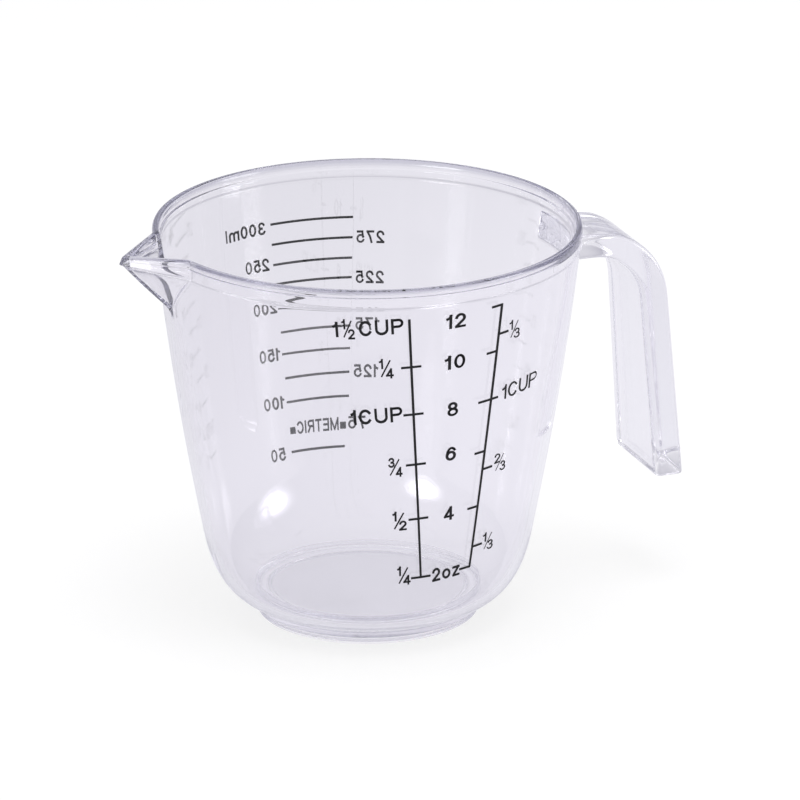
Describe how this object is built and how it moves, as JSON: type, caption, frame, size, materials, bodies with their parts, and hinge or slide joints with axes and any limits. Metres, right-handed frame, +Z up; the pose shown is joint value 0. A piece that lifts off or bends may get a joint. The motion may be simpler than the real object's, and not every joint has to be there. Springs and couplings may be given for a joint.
{
  "type": "measuring cup",
  "caption": "Small clear plastic measuring cup with a foot ring, a V pouring lip, a hooked handle with a free end and black printed cup, ounce and millilitre scales.",
  "frame": {"origin": "on the table, under the middle of the whole outline", "axes": "+X from the pouring lip towards the handle, +Y towards the millilitre scale, +Z up"},
  "size_m": [0.1253, 0.092, 0.0872],
  "materials": {
    "clear_plastic": "clear and polished, moulded in one shot",
    "scale_ink": "flat black screen print"
  },
  "bodies": {
    "root": {"bowl": "clear_plastic", "handle": "clear_plastic", "cup_scale": "scale_ink", "ounce_scale": "scale_ink", "metric_line_50": "scale_ink", "metric_line_100": "scale_ink", "metric_line_125": "scale_ink", "metric_line_150": "scale_ink", "metric_line_175": "scale_ink", "metric_line_200": "scale_ink", "metric_line_225": "scale_ink", "metric_line_250": "scale_ink", "metric_line_275": "scale_ink", "metric_line_300": "scale_ink"}
  },
  "joints": []
}
